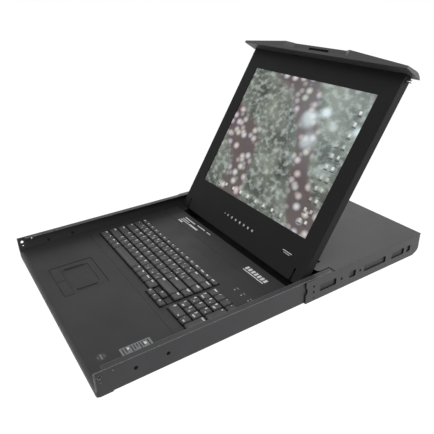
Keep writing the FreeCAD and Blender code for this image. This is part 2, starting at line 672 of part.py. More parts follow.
def hingeBracket(side):
    """Foot on the pan, a toe in front of the lid, and an upright ear for the shaft."""
    body = newBody(sideNames[side] + "_hinge_bracket")

    def across(low, high):
        return (low, high) if side > 0 else (f"-({high})", f"-({low})")

    footLow, footHigh = across("ear_x - 3", "ear_x - 3 + foot_width")
    pad(body, "XY", "pan_sheet", "pan_sheet + foot_sheet",
        rectangle(footLow, "foot_start", footHigh, "foot_end"))
    pad(body, "XY", "pan_sheet", "toe_top",
        rectangle(footLow, "foot_start", footHigh, "foot_start + toe_length"))
    earLow, earHigh = across("ear_x", "ear_x + ear_sheet")
    pad(body, "YZ", earLow, earHigh,
        rectangle("ear_front", "pan_sheet", "ear_front + ear_width", "hinge_z"))
    pad(body, "YZ", earLow, earHigh, circle("hinge_y", "hinge_z", "ear_radius"))
    pocket(body, "YZ", earLow, earHigh, circle("hinge_y", "hinge_z", "shaft_radius + shaft_play"))


def hingeArm(side):
    """Steel angle in the lid. Its upright holds the shaft's end."""
    body = newBody(sideNames[side] + "_hinge_arm", placeLid)
    start = "ear_x + ear_sheet + 0.7"

    def across(low, high):
        return (low, high) if side > 0 else (f"-({high})", f"-({low})")

    low, high = across(start, f"{start} + arm_sheet")
    inside = "lid_back + lid_wall"
    pad(body, "YZ", low, high,
        rectangle("pin_y - 8", inside, "screen_low - module_margin - arm_gap", "pin_z + 4.5"))
    pocket(body, "YZ", low, high, circle("pin_y", "pin_z", "shaft_radius"))
    low, high = across(start, "lid_half - lid_wall - 0.5")
    pad(body, "XY", inside, f"{inside} + 2",
        rectangle(low, "pin_y - 8", high, "screen_low - module_margin - arm_gap"))
    shaft = newBody(sideNames[side] + "_hinge_shaft", placeLid)
    low, high = across("ear_x - 2.5", f"{start} + arm_sheet")
    pad(shaft, "YZ", low, high, circle("pin_y", "pin_z", "shaft_radius"))
    low, high = across("ear_x - 4.5", "ear_x - 2.5")
    pad(shaft, "YZ", low, high, circle("pin_y", "pin_z", "shaft_radius + 1.4"))


# ---------- lid ----------

slitLow, slitHigh = "ear_x - slit_play", "ear_x + ear_sheet + slit_play"


def slits(body, low, high, start, stop):
    pocket(body, "XY", low, high, rectangle(slitLow, start, slitHigh, stop),
           rectangle(f"-({slitHigh})", start, f"-({slitLow})", stop))


lidScrewPlaces = [(x, y) for x in ("-185", "185") for y in ("110", "230", "lid_length - 25.6")]


def lidShell():
    """Back housing of the display: a shallow box that is open towards the bezel."""
    body = newBody("lid_back_shell", placeLid)
    pad(body, "XY", "lid_back", "-bezel_sheet",
        rectangle("-lid_half", "0", "lid_half", "lid_length"))
    roundEdges(body, "lid_corner", lambda e: near(e.BoundBox.ZMin, "lid_back")
               and e.BoundBox.ZLength < 0.01 and e.BoundBox.YMax < number("lid_length") - 1
               or near(e.BoundBox.ZMin, "lid_back") and e.BoundBox.ZLength < 0.01
               and e.BoundBox.XLength < 0.01)
    pocket(body, "XY", "lid_back + lid_wall", "-bezel_sheet",
           rectangle("-lid_half + lid_wall", "lid_wall", "lid_half - lid_wall",
                     "lid_length - lid_wall"))
    slits(body, "pin_z - 10", "-bezel_sheet", "-1", "lid_wall + 0.1")
    pocket(body, "YZ", "-lid_half - 1", "lid_half + 1",
           circle(rodY, rodZ, "rod_radius + rod_play"))
    pocket(body, "XY", "lid_back", "lid_back + lid_wall",
           *[circle(x, y, "screw_radius") for x, y in lidScrewPlaces])
    vent = pocket(body, "XY", "lid_back", "lid_back + lid_wall",
                  roundedRectangle("-90", "300", "-87", "340", "1.4"))
    repeat(body, vent, "X", "174", 16)


def lidBezel():
    body = newBody("lid_bezel", placeLid)
    pad(body, "XY", "-bezel_sheet", "0", rectangle("-lid_half", "0", "lid_half", "lid_length"))
    roundEdges(body, "bezel_sheet / 2", lambda e: near(e.BoundBox.ZMin, "0")
               and e.BoundBox.YMin < 1 and e.BoundBox.ZLength < 0.01)
    pocket(body, "XY", "-bezel_sheet", "0",
           rectangle("-screen_width / 2", "screen_low", "screen_width / 2",
                     "lid_length - screen_top"))
    pocket(body, "XY", "-bezel_sheet", "0",
           circle("menu_light_x", "menu_y", "light_radius"),
           *[circle(f"menu_first + {i} * menu_pitch", "menu_y", "menu_radius + menu_play")
             for i in range(7)])
    slits(body, "-bezel_sheet", "0.5", "-1", "slit_length")


def lidInside():
    module = newBody("lcd_panel", placeLid)
    pad(module, "XY", "module_back", "module_front",
        rectangle("-screen_width / 2 - module_margin", "screen_low - module_margin",
                  "screen_width / 2 + module_margin",
                  "lid_length - screen_top + module_margin"))
    carrier = newBody("lcd_carrier", placeLid)
    inside = "lid_back + lid_wall"
    for y in ("screen_low + 20", "lid_length - screen_top - 40"):
        pad(carrier, "XY", inside, "module_back",
            rectangle("-screen_width / 2 - module_margin", y,
                      "screen_width / 2 + module_margin", f"{y} + 20"))
    board = newBody("menu_board", placeLid)
    pad(board, "XY", "menu_board_back", "menu_board_back + board_sheet",
        rectangle("menu_light_x - 10", "menu_y - 9", "menu_first + 6 * menu_pitch + 10",
                  "menu_y + 9"))
    pad(board, "XY", inside, "menu_board_back",
        *[rectangle(f"{x} - 2", "menu_y - 2", f"{x} + 2", "menu_y + 2")
          for x in ("menu_light_x - 7", "menu_first + 6 * menu_pitch + 7")])
    pad(board, "XY", "menu_board_back + board_sheet", "-bezel_sheet - 1",
        circle("menu_light_x", "menu_y", "light_radius + 0.4"))
    light = newBody("menu_light", placeLid)
    pad(light, "XY", "-bezel_sheet - 1", "0.2", circle("menu_light_x", "menu_y", "light_radius"))
    inverter = newBody("inverter_board", placeLid)
    pad(inverter, "XY", inside, f"{inside} + 6",
        rectangle("60", "menu_y - 16", "60 + inverter_length / 2", "menu_y + 16"))
    labels = {"power_button": range(0, 1), "menu_buttons": range(1, 7)}
    for label, span in labels.items():
        buttons = newBody(label, placeLid)
        pad(buttons, "XY", "-bezel_sheet - 0.5", "menu_rise",
            *[circle(f"menu_first + {i} * menu_pitch", "menu_y", "menu_radius") for i in span])
        roundEdges(buttons, "0.4", lambda e: near(e.BoundBox.ZMin, "menu_rise")
                   and near(e.BoundBox.ZMax, "menu_rise"))
    screws = newBody("lid_screws", placeLid)
    pad(screws, "XY", "lid_back - screw_cap / 2", "lid_back",
        *[circle(x, y, "screw_head") for x, y in lidScrewPlaces])
    pad(screws, "XY", "lid_back", f"{inside} + 6",
        *[circle(x, y, "screw_radius") for x, y in lidScrewPlaces])


def panelSection(depth):
    """Flat back, a front that leans out to the bulge and a round crown over it."""
    front = f"lid_length + {depth}"
    corners = [(f"{front} + panel_bulge - crown", "panel_low"), ("lid_length", "panel_low"),
               ("lid_length", "panel_high"), (front, "panel_high"),
               (f"{front} + panel_bulge", "bulge_z")]
    radius = "((bulge_z - panel_low) ^ 2 + crown ^ 2) / (2 * crown)"

    def draw(sketch):
        places = [Vector(number(x), number(y), 0) for x, y in corners]
        first = sketch.GeometryCount
        for i in range(4):
            sketch.addGeometry(Part.LineSegment(places[i], places[i + 1]), False)
        for i in range(3):
            sketch.addConstraint(Sketcher.Constraint("Coincident", first + i, 2, first + i + 1, 1))
        r = number(radius)
        centre = places[4] - Vector(r, 0, 0)
        turn = -math.asin(number("bulge_z - panel_low") / r)
        arc = sketch.addGeometry(Part.ArcOfCircle(Part.Circle(centre, Vector(0, 0, 1), r), turn, 0),
                                 False)
        sketch.addConstraint(Sketcher.Constraint("Coincident", arc, 2, first + 3, 2))
        sketch.addConstraint(Sketcher.Constraint("Coincident", arc, 1, first, 1))
        for i in range(4):
            pin(sketch, first + i, 1, *corners[i])
        pin(sketch, first + 3, 2, *corners[4])
        index = sketch.addConstraint(Sketcher.Constraint("Radius", arc, r))
        sketch.setExpression(f"Constraints[{index}]", bound(radius))
    return draw


slotBack = "lid_length + notch_rim + slot_setback"
slotFront = f"{slotBack} + slot_width"


def frontPanel():
    """Bow-fronted handle panel, a ruled loft of four sections, with a finger recess below."""
    body = newBody("front_panel", placeLid)
    loft = body.newObject("PartDesign::AdditiveLoft", "front_panelLoft")
    sections = [newSketch(body, "YZ", x, [panelSection(depth)])
                for x, depth in (("-panel_half", "end_depth"), ("-nose_half", "nose_depth"),
                                 ("nose_half", "nose_depth"), ("panel_half", "end_depth"))]
    loft.Profile = sections[0]
    loft.Sections = sections[1:]
    loft.Ruled = True
    body.Tip = loft
    slope = "notch_half - notch_slope"
    pocket(body, "XZ", "lid_length + notch_rim", "lid_length + nose_depth + panel_bulge + 1",
           polygon([("-notch_half", "panel_high + 0.01"), (f"-({slope})", "notch_floor"),
                    (slope, "notch_floor"), ("notch_half", "panel_high + 0.01")]))
    pocket(body, "XY", "notch_floor - slot_depth", "notch_floor",
           roundedRectangle("-slot_half", slotBack, "slot_half", slotFront, "2"))


def releaseAndLatch():
    button = newBody("release_button", placeLid)
    play = "release_play"
    pad(button, "XY", "notch_floor - slot_depth + release_travel + 0.5", "notch_floor - release_drop",
        roundedRectangle(f"-slot_half + {play}", f"{slotBack} + {play}",
                         f"slot_half - {play}", f"{slotFront} - {play}", "1.5"))
    for side in (-1, 1):
        rod = newBody(sideNames[side] + "_latch_rod", placeLid)
        low, high = "rod_inner", "rod_reach"
        if side < 0:
            low, high = "-rod_reach", "-rod_inner"
        pad(rod, "YZ", low, high, circle(rodY, rodZ, "rod_radius"))
        end = f"{side} * rod_reach"
        roundEdges(rod, "1", lambda e: near(e.BoundBox.XMin, end) and near(e.BoundBox.XMax, end))


# ---------- slide rails ----------

windows = [(31.5, 70), (102, 118), (139.5, 197.5), (214, 249.5), (257, 268)]


def rail(side):
    """Channel beside the chassis: web with windows, a lip under the wall and a return above."""
    body = newBody(sideNames[side] + "_rail")

    def across(low, high):
        return (low, high) if side > 0 else (f"-({high})", f"-({low})")

    inner, outer = "width / 2 + rail_gap", "width / 2 + rail_gap + rail_sheet"
    top = "wall_top - seam"
    low, high = across(inner, outer)
    pad(body, "YZ", low, high,
        polygon([("rail_start", "rail_bottom"), ("depth - 15", "rail_bottom"),
                 ("depth - 4", "rail_bottom + 6"), ("depth", "rail_bottom + 12"),
                 ("depth", top), ("rail_start", top), ("rail_start", "32"),
                 ("rail_start + 3", "29"), ("rail_start + 3", "21"), ("rail_start", "18")]))
    cuts = [roundedRectangle(f"rail_start + {a}", "window_low", f"rail_start + {b}",
                             "window_high", "window_corner") for a, b in windows]
    cuts += [circle(f"rail_start + {y}", "rail_hole_z", "rail_hole") for y in (83, 130)]
    cuts += [circle("rail_start + ear_hole_y", z, "ear_hole")
             for z in ("ear_hole_low", "ear_hole_high")]
    cuts.append(rectangle("rail_start + ear_hole_y - 1.5", "15.5", "rail_start + ear_hole_y + 1.5",
                          "20.5"))
    pocket(body, "YZ", low, high, *cuts)
    lipLow, lipHigh = across(f"{inner} - rail_gap - rail_lip", outer)
    pad(body, "XY", "rail_bottom", "rail_bottom + rail_sheet",
        rectangle(lipLow, "rail_start", lipHigh, "depth - 15"))
    returnLow, returnHigh = across(f"{inner} - rail_return", outer)
    pad(body, "XY", f"{top} - rail_sheet", top, rectangle(returnLow, "rail_start", returnHigh, "depth"))
    glides = newBody(sideNames[side] + "_rail_glides")
    low, high = across(f"{inner} - rail_return", inner)
    pad(glides, "YZ", low, high,
        rectangle("rail_start + 4", "glide_low", "depth - 20", "glide_low + glide_height"),
        rectangle("rail_start + 4", "glide_high", "depth - 20", "glide_high + glide_height"))


# ---------- build ----------

trayPan()
for side in (-1, 1):
    sideWall(side)
wallRivets()
palmRest()
touchpadPieces()
keyboardPieces()
keyboardBezel()
keys()
rearStrip()
bulkhead()
topCover()
coverScrews()
rearPanel()
electronics()
for side in (-1, 1):
    hingeBracket(side)
    hingeArm(side)
lidShell()
lidBezel()
lidInside()
frontPanel()
releaseAndLatch()
for side in (-1, 1):
    rail(side)

doc.recompute()
for item in doc.Objects:
    if "Invalid" in item.State or "Error" in item.State:
        raise RuntimeError(f"{item.Label} failed: {item.State}")
for piece in parts:
    shape = piece.Shape
    if shape.isNull() or not shape.isValid() or not shape.Solids:
        raise RuntimeError(f"{piece.Label} has no valid solid")

os.makedirs("parts", exist_ok=True)
for piece in parts:
    piece.Shape.exportStep(f"parts/{piece.Label}.step")
    box = piece.Shape.BoundBox
    print(f"{piece.Label}: {len(piece.Shape.Solids)} solids, {piece.Shape.Volume:.0f} mm3, "
          f"x {box.XMin:.1f} {box.XMax:.1f} y {box.YMin:.1f} {box.YMax:.1f} "
          f"z {box.ZMin:.1f} {box.ZMax:.1f}")
print(len(parts), "nodes")
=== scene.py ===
import json
import math

import bpy
from mathutils import Euler, Matrix, Vector


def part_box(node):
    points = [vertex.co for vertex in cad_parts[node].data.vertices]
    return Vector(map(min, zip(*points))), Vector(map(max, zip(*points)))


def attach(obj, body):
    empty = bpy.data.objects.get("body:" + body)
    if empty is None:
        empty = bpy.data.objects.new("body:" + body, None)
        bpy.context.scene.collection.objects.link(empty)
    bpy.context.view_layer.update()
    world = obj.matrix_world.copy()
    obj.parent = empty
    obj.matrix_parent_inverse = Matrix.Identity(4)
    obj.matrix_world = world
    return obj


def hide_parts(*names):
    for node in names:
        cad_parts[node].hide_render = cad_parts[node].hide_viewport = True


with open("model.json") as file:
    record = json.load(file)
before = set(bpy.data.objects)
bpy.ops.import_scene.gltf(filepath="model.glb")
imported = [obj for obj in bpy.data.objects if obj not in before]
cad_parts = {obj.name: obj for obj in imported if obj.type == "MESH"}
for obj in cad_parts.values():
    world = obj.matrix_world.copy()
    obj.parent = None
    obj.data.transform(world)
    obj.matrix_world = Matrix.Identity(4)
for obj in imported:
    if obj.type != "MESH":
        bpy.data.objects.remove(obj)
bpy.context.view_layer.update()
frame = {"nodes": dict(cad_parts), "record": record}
nodes = frame["nodes"]
joints = {joint["name"]: joint for joint in frame["record"]["behaviour"]["joints"]}
mm = 0.001


cameraSettings = {
    "place": (0.709, -0.436, 0.5051),
    "heading": 57.59,    # degrees round from straight back
    "down": 26.29,
    "roll": -1.4,
    "lens": 40.03,
    "shift": (-0.0108, -0.0102),
    "sensor": 36,
    "clip": (0.01, 50),
}


def addCamera(settings):
    bpy.ops.object.camera_add(location=settings["place"])
    camera = bpy.context.object
    camera.name = "productCamera"
    tilt = Euler((math.radians(90 - settings["down"]), 0, math.radians(settings["heading"])))
    turn = tilt.to_matrix() @ Matrix.Rotation(math.radians(settings["roll"]), 3, "Z")
    camera.rotation_euler = turn.to_euler()
    camera.data.sensor_width = settings["sensor"]
    camera.data.lens = settings["lens"]
    camera.data.shift_x, camera.data.shift_y = settings["shift"]
    camera.data.clip_start, camera.data.clip_end = settings["clip"]
    bpy.context.scene.camera = camera


addCamera(cameraSettings)
bpy.context.scene.view_settings.view_transform = "Standard"


hingePlace = Vector(joints["lid_hinge"]["pos_m"])
lidSettings = {"openAngle": 57.7, "pinUp": 12 * mm, "pinDeep": 7 * mm}


# Turns a piece drawn flat, x across, y up the lid and z out of its face, into its place.
def lidMatrix(settings):
    tilt = Matrix.Rotation(math.radians(settings["openAngle"]), 4, "X")
    toPin = Matrix.Translation((0, -settings["pinUp"], settings["pinDeep"]))
    return Matrix.Translation(hingePlace) @ tilt @ toPin


lidPlace = lidMatrix(lidSettings)


def deselectAll():
    if bpy.context.object and bpy.context.object.mode != "OBJECT":
        bpy.ops.object.mode_set(mode="OBJECT")
    bpy.ops.object.select_all(action="DESELECT")


# Puts the piece's place in its mesh and ties it to its body.
def finishPiece(piece, name, body, material, matrix=None):
    deselectAll()
    piece.select_set(True)
    bpy.context.view_layer.objects.active = piece
    bpy.ops.object.transform_apply(location=True, rotation=True, scale=True)
    if matrix:
        piece.data.transform(matrix)
    piece.name = name
    piece.data.materials.clear()
    piece.data.materials.append(material)
    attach(piece, body)


def joinAll(pieces):
    deselectAll()
    for piece in pieces:
        piece.select_set(True)
    bpy.context.view_layer.objects.active = pieces[0]
    bpy.ops.object.join()
    return bpy.context.object


# A new material with its nodes at hand.
class Recipe:
    def __init__(self, name):
        self.material = bpy.data.materials.new(name)
        self.material.use_nodes = True
        self.tree = self.material.node_tree
        self.shader = self.tree.nodes["Principled BSDF"]
        self.place = self.node("ShaderNodeTexCoord").outputs["Object"]

    # A value named like one of the node's attributes is set there, any other on its socket.
    def node(self, kind, **values):
        made = self.tree.nodes.new(kind)
        for key, value in values.items():
            if hasattr(made, key):
                setattr(made, key, value)
            else:
                made.inputs[key.replace("_", " ")].default_value = value
        return made

    def link(self, source, target):
        self.tree.links.new(source, target)

    def noise(self, scale, detail=3, source=None):
        made = self.node("ShaderNodeTexNoise", Scale=scale, Detail=detail)
        self.link(source or self.place, made.inputs["Vector"])
        return made.outputs["Fac"]

    def mapRange(self, source, low, high, fromLow=0.3, fromHigh=0.7):
        made = self.node("ShaderNodeMapRange")
        made.inputs["From Min"].default_value = fromLow
        made.inputs["From Max"].default_value = fromHigh
        made.inputs["To Min"].default_value = low
        made.inputs["To Max"].default_value = high
        self.link(source, made.inputs["Value"])
        return made.outputs["Result"]

    # Sockets 0, 6 and 7 of the node take the factor and the two colours, and output 2 is the mix.
    def mixColor(self, factor, colorA, colorB, blend="MIX"):
        made = self.node("ShaderNodeMix", data_type="RGBA", blend_type=blend)
        for value, index in ((factor, 0), (colorA, 6), (colorB, 7)):
            if isinstance(value, (int, float, tuple)):
                made.inputs[index].default_value = value
            else:
                self.link(value, made.inputs[index])
        return made.outputs[2]

    def bump(self, height, strength, distance, normal=None):
        made = self.node("ShaderNodeBump", Strength=strength, Distance=distance)
        self.link(height, made.inputs["Height"])
        if normal:
            self.link(normal, made.inputs["Normal"])
        return made.outputs["Normal"]


coolness = 1.04    # blue against red and green in every grey


def grey(value):
    return (value, value, value * coolness, 1)


# Cosines between the rounded and the flat normal where the painted edge highlight is full and
# where it is none.
highlightCosines = (0.8, 0.97)
edgeSamples = 4
speckRange = (0.35, 0.65)    # stretch of the noise from the dark specks to the light ones
dullScale = 3    # patches of roughness to one patch of tone


# Paint or moulded plastic: a fine grain, slow changes of tone, and softened edges. A coating given
# an edge highlight tone has that tone painted along its edges as a painted highlight.
def coated(name, settings):
    recipe = Recipe(name)
    shader = recipe.shader
    tone = recipe.mapRange(recipe.noise(settings["patchScale"], 4), 0, 1)
    color = recipe.mixColor(tone, grey(settings["dark"]), grey(settings["light"]))
    speck = recipe.mapRange(recipe.noise(settings["grainScale"], 2), 0, 1, *speckRange)
    specks = recipe.mixColor(speck, grey(0), grey(1))
    color = recipe.mixColor(settings["speck"], color, specks, "OVERLAY")
    edge = recipe.node("ShaderNodeBevel", samples=edgeSamples, Radius=settings["edge"])
    if "paintedEdgeHighlight" in settings:
        flat = recipe.node("ShaderNodeNewGeometry").outputs["Normal"]
        turn = recipe.node("ShaderNodeVectorMath", operation="DOT_PRODUCT")
        recipe.link(edge.outputs["Normal"], turn.inputs[0])
        recipe.link(flat, turn.inputs[1])
        highlightShare = recipe.mapRange(turn.outputs["Value"], 1, 0, *highlightCosines)
        # Painted highlight: the edges are lightened in colour, standing in for light caught on
        # them.
        color = recipe.mixColor(highlightShare, color, grey(settings["paintedEdgeHighlight"]))
    recipe.link(color, shader.inputs["Base Color"])
    dull = recipe.noise(settings["patchScale"] * dullScale, 3)
    recipe.link(recipe.mapRange(dull, *settings["roughness"]), shader.inputs["Roughness"])
    grain = recipe.noise(settings["grainScale"], 3)
    recipe.link(recipe.bump(grain, settings["grain"], settings["grainDepth"],
                            edge.outputs["Normal"]), shader.inputs["Normal"])
    shader.inputs["Specular IOR Level"].default_value = settings["gloss"]
    return recipe.material


coatings = {
    "chassisPaint": {"dark": 0.042, "light": 0.046, "patchScale": 9, "grainScale": 1500,
                     "speck": 0.04, "roughness": (0.44, 0.48), "grain": 0.25,
                     "grainDepth": 0.0002, "edge": 0.0006, "gloss": 0.3},
    # The walls carry a painted highlight along their edges.
    "wallPaint": {"dark": 0.034, "light": 0.042, "patchScale": 9, "grainScale": 1500,
                  "speck": 0.04, "roughness": (0.40, 0.50), "grain": 0.25,
                  "grainDepth": 0.0002, "edge": 0.0012, "gloss": 0.25, "paintedEdgeHighlight": 0.32},
    # Near black standing for shade: painted shade on the cavity parts behind the lid, on the
    # release button in its slot, and on the discs round the rivets.
    "paintedShadeBlack": {"dark": 0.003, "light": 0.005, "patchScale": 9, "grainScale": 1500,
                    "speck": 0.04, "roughness": (0.60, 0.70), "grain": 0.25,
                    "grainDepth": 0.0002, "edge": 0.0006, "gloss": 0.05},
    "deckPaint": {"dark": 0.026, "light": 0.034, "patchScale": 7, "grainScale": 1200,
                  "speck": 0.05, "roughness": (0.48, 0.58), "grain": 0.3,
                  "grainDepth": 0.0002, "edge": 0.0007, "gloss": 0.22},
    "lidPlastic": {"dark": 0.012, "light": 0.0135, "patchScale": 8, "grainScale": 1800,
                   "speck": 0.03, "roughness": (0.58, 0.62), "grain": 0.2,
                   "grainDepth": 0.00015, "edge": 0.0007, "gloss": 0.1},
    "panelPlastic": {"dark": 0.055, "light": 0.065, "patchScale": 8, "grainScale": 1600,
                     "speck": 0.04, "roughness": (0.42, 0.52), "grain": 0.25,
                     "grainDepth": 0.00015, "edge": 0.0009, "gloss": 0.3},
    "buttonPlastic": {"dark": 0.03, "light": 0.04, "patchScale": 40, "grainScale": 2400,
                      "speck": 0.03, "roughness": (0.3, 0.4), "grain": 0.1,
                      "grainDepth": 0.0001, "edge": 0.0003, "gloss": 0.5},
    # Rivet heads coloured near black as painted shade of the recessed dimples round them.
    "rivetShadeBlack": {"dark": 0.004, "light": 0.008, "patchScale": 40, "grainScale": 2400,
                   "speck": 0.03, "roughness": (0.4, 0.5), "grain": 0.1,
                   "grainDepth": 0.0001, "edge": 0.0003, "gloss": 0.3},
    "keyPlastic": {"dark": 0.046, "light": 0.056, "patchScale": 30, "grainScale": 2500,
                   "speck": 0.05, "roughness": (0.40, 0.52), "grain": 0.2,
                   "grainDepth": 0.0001, "edge": 0.0004, "gloss": 0.3},
    "padPlastic": {"dark": 0.022, "light": 0.028, "patchScale": 20, "grainScale": 2200,
                   "speck": 0.04, "roughness": (0.40, 0.50), "grain": 0.15,
                   "grainDepth": 0.0001, "edge": 0.0007, "gloss": 0.2},
    "connectorPlastic": {"dark": 0.012, "light": 0.018, "patchScale": 60, "grainScale": 2500,
                         "speck": 0.03, "roughness": (0.4, 0.5), "grain": 0.15,
                         "grainDepth": 0.0001, "edge": 0.0004, "gloss": 0.5},
    "glideNylon": {"dark": 0.05, "light": 0.07, "patchScale": 40, "grainScale": 2500,
                   "speck": 0.03, "roughness": (0.5, 0.6), "grain": 0.1,
                   "grainDepth": 0.0001, "edge": 0.0003, "gloss": 0.4},
}
materials = {name: coated(name, settings) for name, settings in coatings.items()}


# Each metal's streak stretches its brushed lines along one axis.
metals = {
    "platedSteel": {"tone": 0.6, "shade": 0.85, "streak": (1, 20, 20), "lineScale": 60,
                    "roughness": (0.28, 0.42), "groove": 0.1, "grooveDepth": 0.0001},
    "caseAluminium": {"tone": 0.7, "shade": 0.85, "streak": (20, 1, 20), "lineScale": 60,
                      "roughness": (0.28, 0.42), "groove": 0.1, "grooveDepth": 0.0001},
}


def brushed(name, settings):
    recipe = Recipe(name)
    shader = recipe.shader
    stretched = recipe.node("ShaderNodeMapping")
    stretched.inputs["Scale"].default_value = settings["streak"]
    recipe.link(recipe.place, stretched.inputs["Vector"])
    lines = recipe.noise(settings["lineScale"], 4, stretched.outputs["Vector"])
    tone = settings["tone"]
    color = recipe.mixColor(recipe.mapRange(lines, 0, 1), grey(tone * settings["shade"]),
                            grey(tone))
    recipe.link(color, shader.inputs["Base Color"])
    recipe.link(recipe.mapRange(lines, *settings["roughness"]), shader.inputs["Roughness"])
    recipe.link(recipe.bump(lines, settings["groove"], settings["grooveDepth"]),
                shader.inputs["Normal"])
    shader.inputs["Metallic"].default_value = 1
    return recipe.material


for name, settings in metals.items():
    materials[name] = brushed(name, settings)


boardSettings = {
    "trackScale": 160, "trackWidth": 0.02, "maskDark": (0.004, 0.05, 0.02, 1),
    "maskLight": (0.006, 0.065, 0.028, 1), "track": (0.03, 0.12, 0.05, 1),
    "grainScale": 900, "grain": 0.15, "grainDepth": 0.0001, "roughness": 0.35,
}


# Green mask over copper tracks.
def circuitBoard(name, settings):
    recipe = Recipe(name)
    brick = recipe.node("ShaderNodeTexBrick", Scale=settings["trackScale"],
                        Mortar_Size=settings["trackWidth"])
    brick.inputs["Color1"].default_value = settings["maskDark"]
    brick.inputs["Color2"].default_value = settings["maskLight"]
    brick.inputs["Mortar"].default_value = settings["track"]
    recipe.link(recipe.place, brick.inputs["Vector"])
    recipe.link(brick.outputs["Color"], recipe.shader.inputs["Base Color"])
    grain = recipe.noise(settings["grainScale"], 2)
    recipe.link(recipe.bump(grain, settings["grain"], settings["grainDepth"]),
                recipe.shader.inputs["Normal"])
    recipe.shader.inputs["Roughness"].default_value = settings["roughness"]
    return recipe.material


materials["circuitBoard"] = circuitBoard("circuitBoard", boardSettings)


inks = {
    "keyInk": {"color": (0.80, 0.81, 0.83), "roughness": 0.5},
    "panelInk": {"color": (0.80, 0.81, 0.83), "roughness": 0.5},
    "softInk": {"color": (0.16, 0.165, 0.17), "roughness": 0.5},
    "labelFoil": {"color": (0.20, 0.205, 0.21), "roughness": 0.4},
    "darkInk": {"color": (0.02, 0.02, 0.022), "roughness": 0.5},
    "lightLens": {"color": (0.42, 0.46, 0.42), "roughness": 0.2},
}
inkWear = {"scale": 700, "faded": 0.8}


# Printed ink, foil or a clear lens, a little uneven.
def marking(name, settings, wear):
    recipe = Recipe(name)
    color = settings["color"]
    faded = tuple(channel * wear["faded"] for channel in color)
    tone = recipe.mapRange(recipe.noise(wear["scale"], 3), 0, 1)
    recipe.link(recipe.mixColor(tone, faded + (1,), color + (1,)),
                recipe.shader.inputs["Base Color"])
    recipe.shader.inputs["Roughness"].default_value = settings["roughness"]
    return recipe.material


for name, settings in inks.items():
    materials[name] = marking(name, settings, inkWear)


litPatches = {"litIcon": (0.80, 0.83, 0.78), "litCaption": (0.03, 0.05, 0.05)}
litWear = {"scale": 45, "faded": 0.25}
offScreen = (0.01, 0.01, 0.01, 1)    # the display's own colour, under its light


# A flat patch of the lit display.
def litPatch(name, color, wear):
    recipe = Recipe(name)
    tone = recipe.mapRange(recipe.noise(wear["scale"], 2), 0, 1)
    faded = tuple(channel * wear["faded"] for channel in color)
    recipe.link(recipe.mixColor(tone, faded + (1,), color + (1,)),
                recipe.shader.inputs["Emission Color"])
    recipe.shader.inputs["Emission Strength"].default_value = 1
    recipe.shader.inputs["Base Color"].default_value = offScreen
    return recipe.material


for name, color in litPatches.items():
    materials[name] = litPatch(name, color, litWear)


nodeMaterials = {
    "wallPaint": ["left_side_wall", "right_side_wall"],
    # Painted shade: the parts in the cavity behind the lid and the release button in its slot are
    # coloured near black.
    "paintedShadeBlack": ["release_button", "tray_pan", "bulkhead", "left_hinge_bracket",
                    "right_hinge_bracket"],
    "chassisPaint": ["top_cover", "rear_panel", "left_rail", "right_rail", "keyboard_support",
                     "cover_screws"],
    "deckPaint": ["palm_rest", "keyboard_bezel", "rear_strip", "keyboard_plate"],
    "lidPlastic": ["lid_back_shell", "lid_bezel", "lcd_panel", "lid_screws"],
    "panelPlastic": ["front_panel"],
    "buttonPlastic": ["power_button", "menu_buttons"],
    "rivetShadeBlack": ["wall_rivets"],
    "padPlastic": ["touchpad_frame", "touchpad", "left_touchpad_button", "right_touchpad_button"],
    "connectorPlastic": ["power_inlet", "console_connector"],
    "glideNylon": ["left_rail_glides", "right_rail_glides"],
    "platedSteel": ["left_hinge_arm", "right_hinge_arm", "left_hinge_shaft", "right_hinge_shaft",
                    "left_latch_rod", "right_latch_rod", "lcd_carrier", "board_standoffs",
                    "usb_ports"],
    "caseAluminium": ["power_supply"],
    "circuitBoard": ["main_board", "keyboard_board", "menu_board", "inverter_board"],
    "lightLens": ["status_lights", "menu_light"],
    "keyPlastic": ["function_keys", "number_keys", "upper_letter_keys", "home_row_keys",
                   "enter_key", "lower_letter_keys", "bottom_row_keys", "space_bar",
                   "navigation_keys", "arrow_keys", "keypad_keys"],
}
for materialName, names in nodeMaterials.items():
    for nodeName in names:
        mesh = nodes[nodeName].data
        mesh.materials.clear()
        mesh.materials.append(materials[materialName])
print("materials on", sum(len(names) for names in nodeMaterials.values()), "nodes")


# A key's cell runs from the middle of one gap to the next, and its cap is narrower at the top.
keySettings = {
    "pitch": 18.8 * mm, "rowPitch": 19.2 * mm, "keypadPitch": 17.9 * mm, "arrowPitch": 18.6 * mm,
    "functionDepth": 12.5 * mm, "arrowDepth": 13.5 * mm, "gap": 1.8 * mm, "taper": 1.5 * mm,
    "bottom": 16.6 * mm, "top": 20.6 * mm, "stem": 5 * mm, "stemBottom": 10.4 * mm,
    "stemInCap": 1 * mm, "rim": 1.4 * mm, "dish": 0.35 * mm, "round": 0.9 * mm, "roundSteps": 2,
    "roundFrom": 40, "smoothTo": 35,    # degrees
}
# Font sizes, a capital's share of its font size, and the legend's place on its key.
letterSettings = {
    "letter": 6.4 * mm, "word": 4.2 * mm, "second": 4.8 * mm, "secondWord": 3.4 * mm,
    "capital": 0.72, "bold": 0.3 * mm, "margin": 1.4 * mm, "secondRise": 0.9 * mm,
    "lift": 0.06 * mm, "curveSteps": 2,
}

